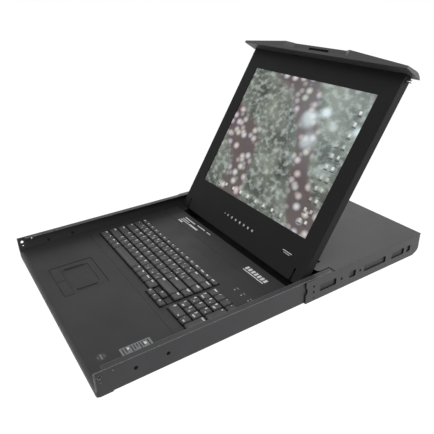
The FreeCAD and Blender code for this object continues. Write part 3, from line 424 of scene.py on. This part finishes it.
# Each row's key widths in pitches, a negative one for a gap, its depth, and its legends.
keyRows = {
    "function_keys": ([1] * 16, "functionDepth",
                      "Esc F1 F2 F3 F4 F5 F6 F7 F8 F9 F10 F11 F12 Num Ins Del"),
    "number_keys": ([1] * 13 + [2], "rowPitch", "~ 1 2 3 4 5 6 7 8 9 0 - = Back"),
    "upper_letter_keys": ([1.5] + [1] * 12 + [1.5], "rowPitch", "Tab Q W E R T Y U I O P [ ] \\"),
    "home_row_keys": ([1.75] + [1] * 11, "rowPitch", "Caps A S D F G H J K L ; '"),
    "enter_key": ([2.25], "rowPitch", "Enter"),
    "lower_letter_keys": ([2.15] + [1] * 10 + [2.85], "rowPitch",
                          "Shift Z X C V B N M , . / Shift"),
    "bottom_row_keys": ([1.2, 1, 1, 1, -4.6, 1, 1, 1, 1.2], "rowPitch",
                        "Ctrl Fn Sys Alt Alt Sys Menu Ctrl"),
    "space_bar": ([4.6], "rowPitch", ""),
}


# One key cap: a block narrowed at the top, dished, with rounded edges, on its stem.
def modelCap(width, depth, settings):
    height = settings["top"] - settings["bottom"]
    footX = width - settings["gap"]
    footY = depth - settings["gap"]
    deselectAll()
    bpy.ops.mesh.primitive_cube_add(size=1, location=(0, 0, height / 2))
    cap = bpy.context.object
    cap.scale = (footX, footY, height)
    bpy.ops.object.transform_apply(location=True, scale=True)
    mesh = cap.data
    for part in [*mesh.polygons, *mesh.edges, *mesh.vertices]:
        part.select = False
    top = max(mesh.polygons, key=lambda face: face.center.z)
    for part in [top, *(mesh.vertices[index] for index in top.vertices)]:
        part.select = True
    bpy.ops.object.mode_set(mode="EDIT")
    bpy.ops.mesh.select_mode(type="FACE")
    narrower = 2 * settings["taper"]
    bpy.ops.transform.resize(value=((footX - narrower) / footX, (footY - narrower) / footY, 1))
    bpy.ops.mesh.inset(thickness=settings["rim"])
    bpy.ops.transform.translate(value=(0, 0, -settings["dish"]))
    bpy.ops.object.mode_set(mode="OBJECT")
    bevel = cap.modifiers.new("roundEdges", "BEVEL")
    bevel.width = settings["round"]
    bevel.segments = settings["roundSteps"]
    bevel.limit_method = "ANGLE"
    bevel.angle_limit = math.radians(settings["roundFrom"])
    bpy.ops.object.modifier_apply(modifier=bevel.name)
    stemHeight = settings["bottom"] - settings["stemBottom"]
    inCap = settings["stemInCap"]
    bpy.ops.mesh.primitive_cube_add(size=1)
    stem = bpy.context.object
    stem.scale = (settings["stem"], settings["stem"], stemHeight + inCap)
    stem.location.z = (inCap - stemHeight) / 2
    bpy.ops.object.transform_apply(location=True, scale=True)
    cap = joinAll([cap, stem])
    bpy.ops.object.shade_smooth_by_angle(angle=math.radians(settings["smoothTo"]))
    return cap


def modelWord(text, size, place, align="LEFT"):
    deselectAll()
    bpy.ops.object.text_add()
    word = bpy.context.object
    word.data.body = text
    word.data.size = size
    word.data.resolution_u = letterSettings["curveSteps"]
    word.data.offset = letterSettings["bold"]
    word.data.align_x = align
    bpy.ops.object.convert(target="MESH")
    word = bpy.context.object
    word.location = place
    return word


shifted = dict(zip("1234567890-=;',./[]", "!@#$%^&*()_+:\"<>?{}"))
keypadSeconds = {"7": "Home", "8": "^", "9": "PgUp", "4": "<", "6": ">", "1": "End", "2": "v",
                 "3": "PgDn", "0": "Ins", ".": "Del"}
capModels = {}


# The legend in the far left corner of a cell, and in its near right corner the second one.
def modelLegends(cell, text, seconds, settings, letters):
    x0, x1, y0, y1 = cell
    inset = settings["gap"] / 2 + settings["taper"] + letters["margin"]
    level = settings["top"] - settings["dish"] + letters["lift"]
    size = letters["letter" if len(text) == 1 else "word"]
    words = [modelWord(text, size, (x0 + inset, y1 - inset - size * letters["capital"], level))]
    if text in seconds:
        second = seconds[text]
        size = letters["second" if len(second) == 1 else "secondWord"]
        place = (x1 - inset, y0 + inset + letters["secondRise"], level)
        words.append(modelWord(second, size, place, "RIGHT"))
    return words


# Caps of a group joined into one piece, and its legends into another. Caps of one size are copies.
def addKeys(name, cells, texts, settings, letters, seconds=shifted):
    caps, legends = [], []
    for cell, text in zip(cells, texts):
        x0, x1, y0, y1 = cell
        size = (round(x1 - x0, 5), round(y1 - y0, 5))
        if size not in capModels:
            capModels[size] = modelCap(*size, settings)
        cap = capModels[size].copy()
        cap.data = cap.data.copy()
        bpy.context.collection.objects.link(cap)
        cap.location = ((x0 + x1) / 2, (y0 + y1) / 2, settings["bottom"])
        caps.append(cap)
        if text:
            legends += modelLegends(cell, text, seconds, settings, letters)
    body = name + "_group"
    piece = joinAll(caps)
    finishPiece(piece, name + "Caps", body, materials["keyPlastic"])
    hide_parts(name)
    if legends:
        finishPiece(joinAll(legends), name + "Legends", body, materials["keyInk"])


# The corner of a group's first cell, half a gap outside its solid.
def firstCorner(name, settings):
    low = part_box(name)[0]
    return low.x - settings["gap"] / 2, low.y - settings["gap"] / 2


def cellsInRow(name, widths, depth, settings):
    x, y = firstCorner(name, settings)
    cells = []
    for width in widths:
        span = abs(width) * settings["pitch"]
        if width > 0:
            cells.append((x, x + span, y, y + depth))
        x += span
    return cells


for rowName, (widths, depth, words) in keyRows.items():
    addKeys(rowName, cellsInRow(rowName, widths, keySettings[depth], keySettings),
            words.split() or [""], keySettings, letterSettings)


def cellsInColumn(name, count, settings):
    x, y = firstCorner(name, settings)
    pitch = settings["rowPitch"]
    return [(x, x + settings["pitch"], y + i * pitch, y + (i + 1) * pitch) for i in range(count)]


addKeys("navigation_keys", cellsInColumn("navigation_keys", 4, keySettings),
        "End PgDn PgUp Home".split(), keySettings, letterSettings)


# Three keys in a row and one above the middle one.
def arrowCells(name, settings):
    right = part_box(name)[1].x + settings["gap"] / 2
    front = firstCorner(name, settings)[1]
    pitch, depth = settings["arrowPitch"], settings["arrowDepth"]
    cells = [(right - (3 - c) * pitch, right - (2 - c) * pitch, front, front + depth)
             for c in range(3)]
    cells.append((cells[1][0], cells[1][1], front + depth, front + 2 * depth))
    return cells


addKeys("arrow_keys", arrowCells("arrow_keys", keySettings), "< v > ^".split(), keySettings,
        letterSettings)

# Column, row, and for a larger key how many columns and rows it spans.
keypad = {(0, 0, 2, 1): "0", (2, 0): ".", (0, 1): "1", (1, 1): "2", (2, 1): "3", (0, 2): "4",
          (1, 2): "5", (2, 2): "6", (0, 3): "7", (1, 3): "8", (2, 3): "9", (0, 4): "Num",
          (1, 4): "/", (2, 4): "*", (3, 4): "-", (3, 2, 1, 2): "+", (3, 0, 1, 2): "Enter"}


def keypadCell(name, settings, column, row, wide=1, tall=1):
    x, y = firstCorner(name, settings)
    across, back = settings["keypadPitch"], settings["rowPitch"]
    return (x + column * across, x + (column + wide) * across,
            y + row * back, y + (row + tall) * back)


addKeys("keypad_keys", [keypadCell("keypad_keys", keySettings, *spot) for spot in keypad],
        keypad.values(), keySettings, letterSettings, keypadSeconds)
for model in capModels.values():
    bpy.data.objects.remove(model)
print("keys done")


# Places on the lid count up from its hinge edge and out of its face.
screenSettings = {"width": 339 * mm, "height": 271.6 * mm, "low": 76.6 * mm, "back": -2.25 * mm,
                  "behindFrame": 2 * mm, "sheet": 0.2 * mm}

pictureSettings = {
    "groundScale": 4.5, "groundDark": (0.015, 0.024, 0.015, 1),
    "groundLight": (0.16, 0.18, 0.14, 1), "groundRange": (0.38, 0.62),
    "frostScale": 23, "frostShare": 0.75, "frost": (0.44, 0.50, 0.47, 1),
    "frostRange": (0.46, 0.70),
    "streamScale": 0.55, "streamBends": 6.0, "streamDetail": 2.0, "streamDetailScale": 1.4,
    "streamTurn": -38, "streamRange": (0.55, 0.8),
    "stoneScale": 17, "stoneLight": (0.62, 0.58, 0.58, 1), "stoneDark": (0.07, 0.045, 0.045, 1),
    "stoneRange": (0.1, 0.55), "stoneTint": 0.12,
    "glintScale": 7, "glint": (0.72, 0.84, 0.86, 1), "glintRange": (0.16, 0.34),
    "skyPlace": (-1.5, -1.45, 0), "skyScale": (1.7, 1.75, 1), "skyRange": (0.1, 0.75),
    "skyShare": 0.95, "haze": (0.62, 0.74, 0.76, 1), "hazeShare": 0.18,
    "roughness": 0.35,
}


# Frosted ground with winding bands of pebbles, brighter and hazier towards its upper right corner.
def screenPicture(name, settings):
    recipe = Recipe(name)
    shader = recipe.shader
    uv = recipe.node("ShaderNodeTexCoord").outputs["UV"]

    def mapped(kind, value):
        made = recipe.node("ShaderNodeMapping")
        made.inputs[kind].default_value = value
        recipe.link(uv, made.inputs["Vector"])
        return made

    def product(source, other):
        made = recipe.node("ShaderNodeMath", operation="MULTIPLY")
        recipe.link(source, made.inputs[0])
        if isinstance(other, float):
            made.inputs[1].default_value = other
        else:
            recipe.link(other, made.inputs[1])
        return made.outputs[0]

    wide = recipe.noise(settings["groundScale"], 6, uv)
    fine = recipe.noise(settings["frostScale"], 8, uv)
    ground = recipe.mixColor(recipe.mapRange(wide, 0, 1, *settings["groundRange"]),
                             settings["groundDark"], settings["groundLight"])
    frost = recipe.mapRange(fine, 0, settings["frostShare"], *settings["frostRange"])
    ground = recipe.mixColor(frost, ground, settings["frost"])

    stream = recipe.node("ShaderNodeTexWave", Scale=settings["streamScale"],
                         Distortion=settings["streamBends"], Detail=settings["streamDetail"])
    stream.inputs["Detail Scale"].default_value = settings["streamDetailScale"]
    turned = mapped("Rotation", (0, 0, math.radians(settings["streamTurn"])))
    recipe.link(turned.outputs["Vector"], stream.inputs["Vector"])
    band = recipe.mapRange(stream.outputs["Fac"], 0, 1, *settings["streamRange"])

    cells = recipe.node("ShaderNodeTexVoronoi", Scale=settings["stoneScale"])
    recipe.link(uv, cells.inputs["Vector"])
    stone = recipe.mixColor(recipe.mapRange(cells.outputs["Distance"], 0, 1,
                                            *settings["stoneRange"]),
                            settings["stoneLight"], settings["stoneDark"])
    stone = recipe.mixColor(settings["stoneTint"], stone, cells.outputs["Color"], "SOFT_LIGHT")
    picture = recipe.mixColor(band, ground, stone)

    glints = recipe.node("ShaderNodeTexVoronoi", Scale=settings["glintScale"], feature="SMOOTH_F1")
    recipe.link(uv, glints.inputs["Vector"])
    glint = recipe.mapRange(glints.outputs["Distance"], 1, 0, *settings["glintRange"])
    corner = recipe.node("ShaderNodeTexGradient", gradient_type="SPHERICAL")
    spot = mapped("Location", settings["skyPlace"])
    spot.inputs["Scale"].default_value = settings["skyScale"]
    recipe.link(spot.outputs["Vector"], corner.inputs["Vector"])
    reach = recipe.mapRange(corner.outputs["Fac"], 0, settings["skyShare"], *settings["skyRange"])
    picture = recipe.mixColor(product(glint, reach), picture, settings["glint"])
    picture = recipe.mixColor(product(reach, settings["hazeShare"]), picture, settings["haze"])

    recipe.link(picture, shader.inputs["Emission Color"])
    shader.inputs["Emission Strength"].default_value = 1
    shader.inputs["Base Color"].default_value = offScreen
    shader.inputs["Roughness"].default_value = settings["roughness"]
    return recipe.material


def addScreen(settings, picture):
    deselectAll()
    bpy.ops.mesh.primitive_plane_add(size=1)
    sheet = bpy.context.object
    sheet.scale = (settings["width"] + 2 * settings["behindFrame"],
                   settings["height"] + 2 * settings["behindFrame"], 1)
    sheet.location = (0, settings["low"] + settings["height"] / 2, settings["back"])
    bpy.ops.object.transform_apply(location=True, scale=True)
    thick = sheet.modifiers.new("thickness", "SOLIDIFY")
    thick.thickness = settings["sheet"]
    thick.offset = 1
    bpy.ops.object.modifier_apply(modifier=thick.name)
    finishPiece(sheet, "screenSheet", "lid", screenPicture("screenPicture", picture),
                lidPlace)


addScreen(screenSettings, pictureSettings)
print("screen done")


markThickness = 0.1 * mm
discSides = 32


# Flat printed shapes in millimetres, each a bar (x0, y0, x1, y1) or a disc (x, y, radius), as one
# thin piece with its middle at the level.
def addMarks(name, body, material, shapes, level, matrix=None):
    made = []
    for shape in shapes:
        deselectAll()
        if len(shape) == 4:
            x0, y0, x1, y1 = (value * mm for value in shape)
            place = ((x0 + x1) / 2, (y0 + y1) / 2, level)
            bpy.ops.mesh.primitive_cube_add(size=1, location=place)
            bpy.context.object.scale = (x1 - x0, y1 - y0, markThickness)
        else:
            x, y, radius = (value * mm for value in shape)
            bpy.ops.mesh.primitive_cylinder_add(vertices=discSides, radius=radius,
                                                depth=markThickness, location=(x, y, level))
        bpy.ops.object.transform_apply(location=True, scale=True)
        made.append(bpy.context.object)
    finishPiece(joinAll(made), name, body, materials[material], matrix)


# A bar from its corner, or from its middle.
def bar(x, y, width, height):
    return (x, y, x + width, y + height)


def middleBar(x, y, width, height):
    return (x - width / 2, y - height / 2, x + width / 2, y + height / 2)


# Small squares in two columns and along the lower edge, with a caption bar under each.
iconSettings = {"size": 6, "columnX": 150, "columnPitch": 15, "columns": 2, "rowPitch": 21,
                "rows": 11, "secondRows": 8, "firstRow": 22, "edgeX": -120, "edgePitch": 26,
                "edgeCount": 9, "edgeUp": 12, "captionWider": 3, "captionHeight": 2,
                "captionDrop": 4.5}


def addScreenIcons(settings, screen):
    low = screen["low"] / mm
    places = [(settings["columnX"] - settings["columnPitch"] * column,
               low + settings["firstRow"] + settings["rowPitch"] * row)
              for row in range(settings["rows"]) for column in range(settings["columns"])
              if column == 0 or row < settings["secondRows"]]
    places += [(settings["edgeX"] + settings["edgePitch"] * step, low + settings["edgeUp"])
               for step in range(settings["edgeCount"])]
    size, wider = settings["size"], settings["captionWider"]
    squares = [bar(x, y, size, size) for x, y in places]
    captions = [bar(x - wider / 2, y - settings["captionDrop"], size + wider,
                    settings["captionHeight"]) for x, y in places]
    level = screen["back"] + screen["sheet"] + markThickness
    addMarks("screenIcons", "lid", "litIcon", squares, level, lidPlace)
    addMarks("screenCaptions", "lid", "litCaption", captions, level, lidPlace)


addScreenIcons(iconSettings, screenSettings)

menuSettings = {
    "first": -40, "pitch": 14, "y": 37.5, "count": 6, "level": 0.86 * mm,
    "power": {"stem": (0, 1.1, 0.8, 2.2), "base": (0, -1.25, 3.4, 0.7),
              "sides": ((-1.55, -0.2, 0.7, 2.8), (1.55, -0.2, 0.7, 2.8))},
    "middle": (0, 0, 4.4, 1.6), "cross": (0, 0, 1.8, 4.8),
    "above": (0, 1.75, 3, 1.1), "below": (0, -1.75, 3, 1.1),
}
badgeSettings = {"bars": ((135, 39.6, 24, 1.4), (139, 36.4, 16, 1.0)), "level": 0.03 * mm}


# The power sign, then crosses and stacks of bars in turn on the other buttons.
def addMenuIcons(settings):
    def signAt(index, *shapes):
        x = settings["first"] + index * settings["pitch"]
        return [middleBar(x + dx, settings["y"] + dy, width, height)
                for dx, dy, width, height in shapes]

    power = settings["power"]
    addMarks("powerIcon", "power_switch", "panelInk",
             signAt(0, power["stem"], power["base"], *power["sides"]), settings["level"], lidPlace)
    signs = []
    for index in range(settings["count"]):
        if index % 2:
            signs += signAt(index + 1, settings["middle"], settings["cross"])
        else:
            signs += signAt(index + 1, settings["middle"], settings["above"], settings["below"])
    addMarks("menuIcons", "menu_switches", "panelInk", signs,
             settings["level"], lidPlace)


addMenuIcons(menuSettings)
addMarks("lidBadge", "lid", "panelInk",
         [bar(*shape) for shape in badgeSettings["bars"]], badgeSettings["level"], lidPlace)

# Places on the deck count from the chassis' front edge, with x = 0 in its middle.
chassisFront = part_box("tray_pan")[0].y
chassisPlace = Matrix.Translation((0, chassisFront, 0))
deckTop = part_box("palm_rest")[1].z + markThickness / 2
deckMarks = {
    "stripBadge": {"ink": "panelInk", "bars": [bar(92 + 9 * step, 333, 6, 9) for step in range(7)]
                   + [bar(92, 328.5, 60, 2)]},
    "stripNote": {"ink": "panelInk", "bars": [
        bar(-154, 344, 42, 3), bar(-154, 338, 28, 2), bar(-154, 333, 36, 2),
        bar(-104, 346, 30, 2.5), bar(-66, 346, 14, 2.5), bar(-120, 333, 34, 4.5),
        bar(-154, 326, 16, 4)]},
    "lightIcons": {"ink": "softInk",
                   "bars": [bar(135.5 + 19.5 * step, 284, 6, 2.5) for step in range(3)]},
    "plateLabel": {"ink": "labelFoil", "bars": [bar(165, 55, 18, 49)]},
    "plateLines": {"ink": "darkInk", "layer": 1, "bars": [
        bar(167, 58 + 4.5 * step, 14 - 3 * (step % 3), 2.2) for step in range(10)]},
    "plateTab": {"ink": "panelInk", "layer": 2, "bars": [bar(170, 92, 6, 4), bar(168, 66, 5, 3)]},
    "roundSeal": {"ink": "darkInk", "bars": [(165, 28.5, 8)]},
    "sealBars": {"ink": "softInk", "layer": 1, "bars": [
        bar(159.5, 27, 11, 3), bar(163, 32.5, 4, 1.1), bar(163, 23.4, 4, 1.1)]},
}
for name, settings in deckMarks.items():
    level = deckTop + settings.get("layer", 0) * markThickness
    addMarks(name, "chassis", settings["ink"], settings["bars"], level, chassisPlace)

# Near-black discs round the rivets, on the outer faces of both walls: painted shade of recessed
# dimples.
rivetShadeSettings = {"fromFront": (59, 109), "up": 23 * mm, "radius": 3.1, "proud": 0.06 * mm}


def addRivetShade(label, side, settings):
    outer = side * (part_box("tray_pan")[1].x + settings["proud"])
    facing = Matrix.Rotation(math.pi / 2, 4, "Y")
    place = Matrix.Translation((outer, chassisFront, settings["up"])) @ facing
    # Painted shade: flat discs in the near-black shade colour.
    addMarks(label + "RivetShadeDiscs", "chassis", "paintedShadeBlack",
             [(0, y, settings["radius"]) for y in settings["fromFront"]], 0, place)


addRivetShade("left", -1, rivetShadeSettings)
addRivetShade("right", 1, rivetShadeSettings)
print("marks done")

stageSettings = {"size": 60, "drop": 0.2 * mm, "floorWhite": 0.8, "floorRoughness": 0.9,
                 "glowShare": 0.88, "glow": 1.13, "worldLight": 0.08}


# 1 where the camera, a mirror or a clear piece sees the surface, and 0 where it only gives light.
def seenFactor(tree):
    path = tree.nodes.new("ShaderNodeLightPath")
    source = path.outputs["Is Camera Ray"]
    for kind in ("Is Glossy Ray", "Is Transmission Ray"):
        larger = tree.nodes.new("ShaderNodeMath")
        larger.operation = "MAXIMUM"
        tree.links.new(source, larger.inputs[0])
        tree.links.new(path.outputs[kind], larger.inputs[1])
        source = larger.outputs[0]
    return source


# White floor that shows as white and still takes a faint shadow.
def stageMaterial(name, settings):
    recipe = Recipe(name)
    recipe.shader.inputs["Base Color"].default_value = grey(settings["floorWhite"])
    recipe.shader.inputs["Roughness"].default_value = settings["floorRoughness"]
    recipe.shader.inputs["Specular IOR Level"].default_value = 0
    glow = recipe.node("ShaderNodeEmission", Strength=settings["glow"])
    share = recipe.node("ShaderNodeMath", operation="MULTIPLY")
    share.inputs[1].default_value = settings["glowShare"]
    recipe.link(seenFactor(recipe.tree), share.inputs[0])
    mixed = recipe.node("ShaderNodeMixShader")
    recipe.link(share.outputs[0], mixed.inputs[0])
    recipe.link(recipe.shader.outputs[0], mixed.inputs[1])
    recipe.link(glow.outputs[0], mixed.inputs[2])
    recipe.link(mixed.outputs[0], recipe.tree.nodes["Material Output"].inputs["Surface"])
    return recipe.material


def addStage(settings):
    deselectAll()
    bpy.ops.mesh.primitive_plane_add(size=settings["size"], location=(0, 0, -settings["drop"]))
    floor = bpy.context.object
    floor.name = "studioFloor"
    bpy.ops.object.transform_apply(location=True)
    floor.data.materials.append(stageMaterial("studioWhite", settings))
    world = bpy.data.worlds.new("studioWorld")
    bpy.context.scene.world = world
    world.use_nodes = True
    tree = world.node_tree
    background = tree.nodes["Background"]
    background.inputs["Color"].default_value = (1, 1, 1, 1)
    strength = tree.nodes.new("ShaderNodeMapRange")
    strength.inputs["To Min"].default_value = settings["worldLight"]
    strength.inputs["To Max"].default_value = 1.0
    tree.links.new(seenFactor(tree), strength.inputs["Value"])
    tree.links.new(strength.outputs["Result"], background.inputs["Strength"])


addStage(stageSettings)

lamps = {
    "rightLamp": {"place": (0.75, -0.35, 1.75), "aim": (0, 0, 0.1), "size": 1.1, "power": 22},
    "rearRightLamp": {"place": (1.4, 1.0, 0.5), "aim": (0.2, 0.1, 0), "size": 0.9, "power": 20},
    "rearLamp": {"place": (-1.7, 1.5, 1.3), "aim": (0, 0.1, 0.1), "size": 1.6, "power": 9},
    "frontLamp": {"place": (-0.9, -1.5, 0.5), "aim": (0, -0.2, 0), "size": 0.5, "power": 4},
}


def addLamp(name, settings):
    bpy.ops.object.light_add(type="AREA", location=settings["place"])
    lamp = bpy.context.object
    lamp.name = name
    lamp.data.size = settings["size"]
    lamp.data.energy = settings["power"]
    aim = Vector(settings["aim"]) - Vector(settings["place"])
    lamp.rotation_euler = aim.to_track_quat("-Z", "Y").to_euler()


for lampName, settings in lamps.items():
    addLamp(lampName, settings)
print("stage done")
